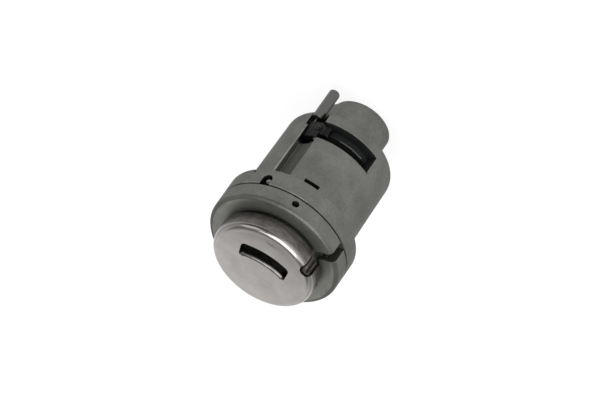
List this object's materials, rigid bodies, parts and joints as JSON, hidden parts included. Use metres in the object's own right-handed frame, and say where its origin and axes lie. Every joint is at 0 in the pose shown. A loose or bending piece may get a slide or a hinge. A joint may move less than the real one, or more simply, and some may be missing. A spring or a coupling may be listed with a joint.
{
  "type": "ignition lock cylinder",
  "caption": "Car ignition lock cylinder: flanged zinc barrel with a split collar ring, bright key face with an arched opening, sprung shutter, wafers and a release rod.",
  "frame": {"origin": "the barrel's axis at the flat end of its nose, on which the part stands", "axes": "+Z along the barrel from the nose to the key face, -Y towards the middle of the side with the wall slot"},
  "size_m": [0.03, 0.03, 0.0445],
  "materials": {
    "zinc_casting": "tumbled zinc die casting, satin grey",
    "stainless_pressing": "bright rolled stainless sheet",
    "steel_pin": "ground steel",
    "blackened_steel": "blackened steel",
    "spring_wire": "drawn spring wire",
    "wafer_brass": "stamped brass",
    "black_polymer": "moulded black polymer, slightly glossy"
  },
  "bodies": {
    "housing": {"housing": "zinc_casting", "collar_ring": "zinc_casting", "collar_pin": "steel_pin", "stator_pin": "steel_pin", "stator_sleeve": "steel_pin", "slider_spring": "spring_wire"},
    "rotor": {"rotor": "zinc_casting", "cam_sleeve": "black_polymer", "shutter_carrier": "zinc_casting", "face_cap": "stainless_pressing", "shutter_pin": "steel_pin", "shutter_spring": "spring_wire", "wafer_spring_1": "spring_wire", "wafer_spring_2": "spring_wire", "wafer_spring_3": "spring_wire", "wafer_spring_4": "spring_wire", "wafer_spring_5": "spring_wire", "wafer_spring_6": "spring_wire", "wafer_spring_7": "spring_wire", "wafer_spring_8": "spring_wire"},
    "shutter": {"shutter_flap": "blackened_steel"},
    "wafer_1": {"wafer_1": "wafer_brass"},
    "wafer_2": {"wafer_2": "wafer_brass"},
    "wafer_3": {"wafer_3": "wafer_brass"},
    "wafer_4": {"wafer_4": "wafer_brass"},
    "wafer_5": {"wafer_5": "wafer_brass"},
    "wafer_6": {"wafer_6": "wafer_brass"},
    "wafer_7": {"wafer_7": "wafer_brass"},
    "wafer_8": {"wafer_8": "wafer_brass"},
    "release": {"release_slider": "black_polymer", "release_rod": "steel_pin"}
  },
  "joints": [
    {"name": "key_turn", "type": "hinge", "parent": "housing", "child": "rotor", "pos_m": [0, 0, 0.035], "axis": [0, 0, 1], "range_deg": [-100, 0]},
    {"name": "release_slide", "type": "slide", "parent": "housing", "child": "release", "axis": [0, 0, 1], "range_m": [0, 0.0015], "deforming": ["slider_spring"]},
    {"name": "shutter_swing", "type": "hinge", "parent": "rotor", "child": "shutter", "pos_m": [-0.00018, 0.00159, 0.0422], "axis": [0.9936, 0.1132, 0], "range_deg": [0, 80], "stiffness_Nm_per_rad": 0.002, "springref_deg": -20.05, "deforming": ["shutter_spring"]},
    {"name": "wafer_1_slide", "type": "slide", "parent": "rotor", "child": "wafer_1", "axis": [0.9936, 0.1132, 0], "range_m": [-0.0006, 0.0012], "stiffness_N_per_m": 60, "deforming": ["wafer_spring_1"]},
    {"name": "wafer_2_slide", "type": "slide", "parent": "rotor", "child": "wafer_2", "axis": [-0.9936, -0.1132, 0], "range_m": [-0.0006, 0.0012], "stiffness_N_per_m": 60, "deforming": ["wafer_spring_2"]},
    {"name": "wafer_3_slide", "type": "slide", "parent": "rotor", "child": "wafer_3", "axis": [0.9936, 0.1132, 0], "range_m": [-0.0006, 0.0012], "stiffness_N_per_m": 60, "deforming": ["wafer_spring_3"]},
    {"name": "wafer_4_slide", "type": "slide", "parent": "rotor", "child": "wafer_4", "axis": [-0.9936, -0.1132, 0], "range_m": [-0.0006, 0.0012], "stiffness_N_per_m": 60, "deforming": ["wafer_spring_4"]},
    {"name": "wafer_5_slide", "type": "slide", "parent": "rotor", "child": "wafer_5", "axis": [0.9936, 0.1132, 0], "range_m": [-0.0006, 0.0012], "stiffness_N_per_m": 60, "deforming": ["wafer_spring_5"]},
    {"name": "wafer_6_slide", "type": "slide", "parent": "rotor", "child": "wafer_6", "axis": [-0.9936, -0.1132, 0], "range_m": [-0.0006, 0.0012], "stiffness_N_per_m": 60, "deforming": ["wafer_spring_6"]},
    {"name": "wafer_7_slide", "type": "slide", "parent": "rotor", "child": "wafer_7", "axis": [0.9936, 0.1132, 0], "range_m": [-0.0006, 0.0012], "stiffness_N_per_m": 60, "deforming": ["wafer_spring_7"]},
    {"name": "wafer_8_slide", "type": "slide", "parent": "rotor", "child": "wafer_8", "axis": [-0.9936, -0.1132, 0], "range_m": [-0.0006, 0.0012], "stiffness_N_per_m": 60, "deforming": ["wafer_spring_8"]}
  ],
  "couplings": [
    {"joint": "release_slide", "follows": "key_turn", "m_per_rad": -0.000859}
  ]
}
